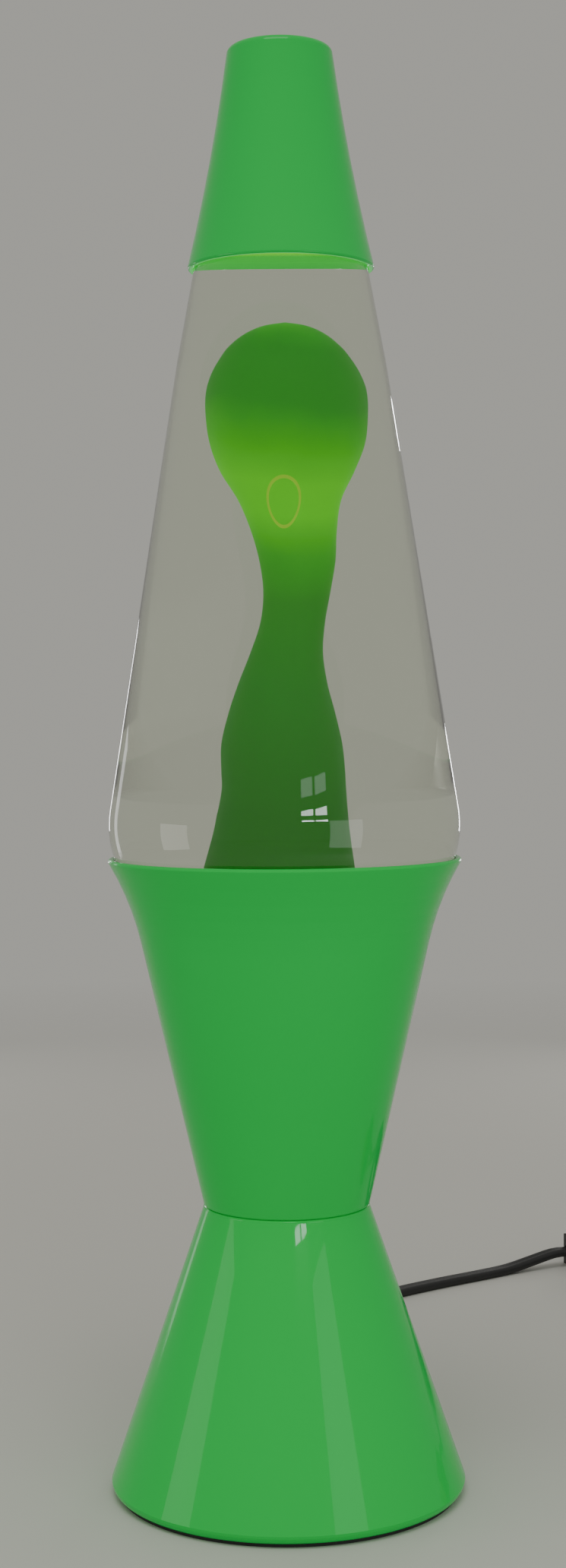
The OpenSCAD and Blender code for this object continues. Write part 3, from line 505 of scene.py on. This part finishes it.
def globe_pieces(columns=160):
    """The bottle as one closed wall, outside up and inside down, with its bead at the mouth; and the liquid
    inside it. The wall's wetted faces have the finish that bends light as from glass into liquid."""
    bead_r, lip_r = 1.0, 0.4
    bead_x = NECK_R - 0.1
    outside = globe_outline(0, NECK_TOP - 5.4)
    bead = np.vstack([arc(bead_x, NECK_TOP - 4, bead_r, -80, 0, 4),
                      arc(bead_x, NECK_TOP - bead_r, bead_r, 0, 90, 4)])
    inside = globe_outline(GLASS_WALL, NECK_TOP - lip_r)
    lip = arc(NECK_R - GLASS_WALL + lip_r, NECK_TOP - lip_r, lip_r, 90, 180, 3)
    profile = np.vstack([along_outline(outside), bead, lip, along_outline(inside[::-1])])
    wall = turned("globe_bottle", profile, columns)
    dress(wall, globe_glass, wetted_glass)
    centre = np.empty(3 * len(wall.data.polygons))
    wall.data.polygons.foreach_get("center", centre)
    normal = np.empty_like(centre)
    wall.data.polygons.foreach_get("normal", normal)
    centre, normal = centre.reshape(-1, 3), normal.reshape(-1, 3)
    faces_in = (centre[:, :2] * normal[:, :2]).sum(axis=1) < 0
    floor = (normal[:, 2] > 0.5) & (centre[:, 2] < (GLOBE_BOTTOM + 8) * MM)
    wet = (faces_in | floor) & (centre[:, 2] < LIQUID_TOP * MM) & (centre[:, 2] > (GLOBE_BOTTOM + 1) * MM)
    wall.data.polygons.foreach_set("material_index", wet.astype(np.int32))
    side = along_outline(globe_outline(GLASS_WALL + LIQUID_FILM, NECK_TOP))
    side = side[side[:, 1] < LIQUID_TOP - 0.2]
    edge = side[-1] + (side[-1] - side[-2]) * (LIQUID_TOP - side[-1][1]) / (side[-1][1] - side[-2][1])
    liquid = turned("clear_liquid", np.vstack([side, [edge], [[0, LIQUID_TOP]]]), columns)
    dress(liquid, liquid_side, liquid_top)
    top = np.zeros(len(liquid.data.polygons), np.int32)
    top[-columns:] = 1
    liquid.data.polygons.foreach_set("material_index", top)
    return wall, liquid


light_inside_cap(cap_enamel)
globe_bottle, clear_liquid = globe_pieces()
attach(globe_bottle, "globe")
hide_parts("globe_glass")
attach(clear_liquid, "globe")
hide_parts("liquid")


# ---------------------------------------------------------------- wax

# Height above the table, radius, and how far the column leans to the right and to the back
WAX_STATIONS = np.array([
    [120.6, 0.0, 0.0, 0.0], [120.8, 14.0, 0.0, 0.0], [121.6, 19.5, 0.0, 0.0], [123.6, 22.3, 0.0, 0.0],
    [127.0, 23.4, 0.0, 0.0], [131.0, 22.4, 0.0, 0.0], [138.0, 20.3, -0.3, 0.2], [148.0, 18.2, -0.8, 0.4],
    [156.0, 16.3, -1.2, 0.5], [162.5, 14.9, -1.2, 0.5], [170.3, 13.0, -0.6, 0.4], [178.0, 12.1, -0.2, 0.2],
    [183.0, 12.0, -0.3, 0.0], [189.7, 11.7, -0.5, -0.2], [197.4, 10.3, -0.4, -0.3], [205.1, 8.5, -0.1, -0.4],
    [212.8, 6.9, 0.7, -0.4], [220.5, 6.1, 1.9, -0.3], [228.2, 6.3, 2.7, -0.1], [235.9, 7.1, 2.8, 0.1],
    [243.6, 8.0, 2.1, 0.3], [251.3, 9.6, 1.3, 0.4], [258.6, 12.5, 0.9, 0.4], [265.8, 14.5, 1.0, 0.3],
    [273.1, 15.2, 1.0, 0.2], [279.2, 15.1, 1.0, 0.1], [284.0, 13.9, 0.9, 0.0], [287.6, 12.2, 0.8, 0.0],
    [290.1, 10.6, 0.7, 0.0], [293.0, 7.7, 0.7, 0.0], [294.9, 4.3, 0.7, 0.0], [295.8, 0.0, 0.7, 0.0]])


def wax_column(columns=120):
    """The risen wax: at each height a ring round a leaning centre line, whose radius swells by 1.8% twice
    and 1.2% three times round, slowly turning with height."""
    least_r = 0.3
    line = smooth_line(WAX_STATIONS, 1.0)
    z, radius, right, back = line[1:-1].T[:, :, None]
    angle = np.linspace(0, 2 * np.pi, columns, endpoint=False)[None, :]
    swell = 1 + 0.018 * np.cos(2 * angle + z / 19) + 0.012 * np.cos(3 * angle - z / 13 + 1)
    radius = np.maximum(radius, least_r) * swell
    ring = np.stack([right + radius * np.cos(angle), back + radius * np.sin(angle),
                     np.repeat(z, columns, axis=1)], axis=-1).reshape(-1, 3)
    low, high = line[0], line[-1]
    points = np.vstack([ring, [[low[2], low[3], low[0]], [high[2], high[3], high[0]]]])
    rows, count = len(line) - 2, len(ring)
    faces = np.vstack([grid_faces(rows, columns), fan_faces(count, 0, columns, False),
                       fan_faces(count + 1, count - columns, columns, True)])
    return make_piece("risen_wax", points, faces)


def lit_egg_ring(tree, x, y, z):
    """1 on an egg-shaped line on the front of the wax and 0 elsewhere, where a ring of painted lamplight
    glows. The egg is the unit circle of its width and its height, each as a share of its half size; the width
    counts for more towards the bottom, which makes that end narrow."""
    middle_x, middle_z, half_wide, half_tall, half_line = 0.0003, 0.2506, 0.0037, 0.0062, 0.07
    tall = math_node(tree, "MULTIPLY", math_node(tree, "SUBTRACT", z, middle_z), 1 / half_tall)
    wide = math_node(tree, "MULTIPLY", math_node(tree, "SUBTRACT", x, middle_x), 1 / half_wide)
    widening = math_node(tree, "SUBTRACT", 1.15, math_node(tree, "MULTIPLY", tall, 0.22))
    egg = distance_node(tree, math_node(tree, "MULTIPLY", wide, widening), tall)
    off = math_node(tree, "ABSOLUTE", math_node(tree, "SUBTRACT", egg, 1.0))
    return math_node(tree, "MULTIPLY", math_node(tree, "LESS_THAN", off, half_line),
                     math_node(tree, "LESS_THAN", y, 0.0))


def wax_finish():
    """Translucent green wax lit from the bulb below, with that light painted into its colour and glow. The
    colour runs with height from dark at the foot to bright where the blob's underside faces the light, and to
    dark at its crown; the bright zone sits a little higher at the sides, where the wax is thin, and most so
    on the left. A pale egg-shaped ring of painted lamplight glows on the front."""
    material, tree, shader = plain_material("translucent_wax", Roughness=0.5, Specular_IOR_Level=0.1,
                                            Emission_Strength=0.6)
    blob_r, side_rise, left_rise, waver_height = 0.0155, 0.0020, 0.0025, 0.006
    place, x, y, z = object_place(tree)
    cloud = tree.nodes.new("ShaderNodeTexNoise")
    cloud.inputs["Scale"].default_value = 60.0
    tree.links.new(place, cloud.inputs["Vector"])
    waver = math_node(tree, "MULTIPLY", math_node(tree, "SUBTRACT", cloud.outputs["Fac"], 0.5), waver_height)
    across = math_node(tree, "MULTIPLY", x, 1 / blob_r)
    lift = math_node(tree, "MULTIPLY", math_node(tree, "MULTIPLY", across, across), -side_rise)
    lean = math_node(tree, "MULTIPLY", across, left_rise)
    height = tree.nodes.new("ShaderNodeMapRange")
    height.inputs["From Min"].default_value, height.inputs["From Max"].default_value = 0.150, 0.300
    lit = math_node(tree, "ADD", math_node(tree, "ADD", z, waver), math_node(tree, "ADD", lift, lean))
    tree.links.new(lit, height.inputs["Value"])
    glow = colour_ramp(tree, height.outputs["Result"], (
        (0.0, (0.012, 0.128, 0.007)), (0.10, (0.014, 0.145, 0.010)), (0.36, (0.018, 0.190, 0.014)),
        (0.50, (0.023, 0.220, 0.012)), (0.58, (0.034, 0.330, 0.008)), (0.65, (0.088, 0.600, 0.001)),
        (0.705, (0.094, 0.620, 0.001)), (0.77, (0.044, 0.400, 0.002)), (0.83, (0.018, 0.250, 0.009)),
        (0.93, (0.018, 0.240, 0.012)), (1.0, (0.042, 0.370, 0.024))))
    # painted lamplight: a bright yellow ring mixed into the wax's colour and its glow
    glow_with_lit_ring = colour_mix(tree, math_node(tree, "MULTIPLY", lit_egg_ring(tree, x, y, z), 0.7), glow,
                        (0.38, 0.60, 0.020, 1))
    for socket in ("Base Color", "Emission Color"):
        tree.links.new(glow_with_lit_ring, shader.inputs[socket])
    return material


risen_wax = wax_column()
dress(risen_wax, wax_finish())
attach(risen_wax, "globe")
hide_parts("wax")


# ---------------------------------------------------------------- studio

def studio_floor(columns=96):
    """Pale round floor that fades out between 0.5 and 1.1 m, so that it has no edge against the
    background."""
    angle = np.linspace(0, 2 * np.pi, columns, endpoint=False)
    radius = np.array([200.0, 400.0, 700.0, 1200.0])[:, None]
    rows = len(radius)
    ring = np.stack([radius * np.cos(angle), radius * np.sin(angle), np.zeros((rows, columns))], axis=-1)
    faces = np.vstack([grid_faces(rows, columns)[:, ::-1], fan_faces(rows * columns, 0, columns, True)])
    points = np.vstack([ring.reshape(-1, 3), [[0, 0, 0]]])
    floor = make_piece("studio_floor", points, faces, smooth=False)
    material, tree, shader = plain_material("pale_floor", Base_Color=(0.66, 0.65, 0.61, 1), Roughness=0.75,
                                            Specular_IOR_Level=0.2)
    place = object_place(tree)[0]
    length = tree.nodes.new("ShaderNodeVectorMath")
    length.operation = "LENGTH"
    fade = tree.nodes.new("ShaderNodeMapRange")
    for socket, value in (("From Min", 0.5), ("From Max", 1.1), ("To Min", 1.0), ("To Max", 0.0)):
        fade.inputs[socket].default_value = value
    tree.links.new(place, length.inputs[0])
    tree.links.new(length.outputs["Value"], fade.inputs["Value"])
    tree.links.new(fade.outputs["Result"], shader.inputs["Alpha"])
    dress(floor, material)


def soft_light(name, size, place, target, radiance, colour=(1, 1, 1)):
    """Flat light of a given brightness that faces the target. Its power is brightness x pi x area."""
    data = bpy.data.lights.new(name, "AREA")
    data.shape, data.size, data.size_y = "RECTANGLE", size[0], size[1]
    data.energy, data.color = radiance * math.pi * size[0] * size[1], colour
    light = bpy.data.objects.new(name, data)
    light.rotation_mode = "QUATERNION"
    light.rotation_quaternion = (Vector(place) - Vector(target)).to_track_quat("Z", "Y")
    light.location = place
    light.visible_camera = light.visible_transmission = False
    bpy.context.collection.objects.link(light)


def around(azimuth, elevation, distance, height=0.0):
    """Place at a distance from the axis, seen from the height: azimuth 0 is the front and 90 the right."""
    a, e = math.radians(azimuth), math.radians(elevation)
    return (distance * math.cos(e) * math.sin(a), -distance * math.cos(e) * math.cos(a),
            height + distance * math.sin(e))


def room_light():
    """Even grey surroundings."""
    world = bpy.data.worlds.new("studio")
    world.use_nodes = True
    background = world.node_tree.nodes["Background"]
    background.inputs["Color"].default_value = (0.385, 0.38, 0.35, 1)
    background.inputs["Strength"].default_value = 1.0
    bpy.context.scene.world = world


def small_window():
    """Bright little window in front and to the right: three rows of two panes, the top row curtained. A pane
    lies at (middle + across along) for its distance along the window from the middle."""
    pane_width, half_gap = 0.043, 0.026
    middle, across, daylight = np.array([0.108, -0.330]), np.array([0.95, 0.32]), (0.93, 0.98, 1.0)
    for z, height, radiance in ((0.269, 0.007, 2.2), (0.2545, 0.008, 14.0), (0.2210, 0.008, 24.0)):
        for along in (-half_gap, half_gap):
            x, y = middle + across * along
            soft_light("window_pane", (pane_width, height), (x, y, z), (0.0, -0.04, 0.15), radiance,
                       daylight)


studio_floor()
room_light()
small_window()
soft_light("key", (0.9, 0.7), around(-12, 66, 1.6, 0.1), (0, 0, 0.15), 3.0)
soft_light("right_panel", (0.16, 0.19), around(38, 15, 0.45, 0.02), (0, 0, 0.12), 1.7, (0.97, 1.0, 1.0))
soft_light("left_panel", (0.15, 0.14), around(-72, 14, 0.42, 0.02), (0, 0, 0.12), 2.0, (1.0, 0.98, 0.92))
soft_light("left_back_strip", (0.10, 0.3), around(-140, 6, 0.9, 0.02), (0, 0, 0.05), 1.6)
soft_light("right_rim", (0.05, 0.10), (0.27, 0.75, 0.165), (0, 0, 0.17), 10.0)
soft_light("left_rim", (0.05, 0.16), (-0.27, 0.75, 0.20), (0, 0, 0.18), 5.0)
soft_light("right_spark", (0.03, 0.03), (0.26, 0.76, 0.40), (0, 0, 0.27), 30.0)
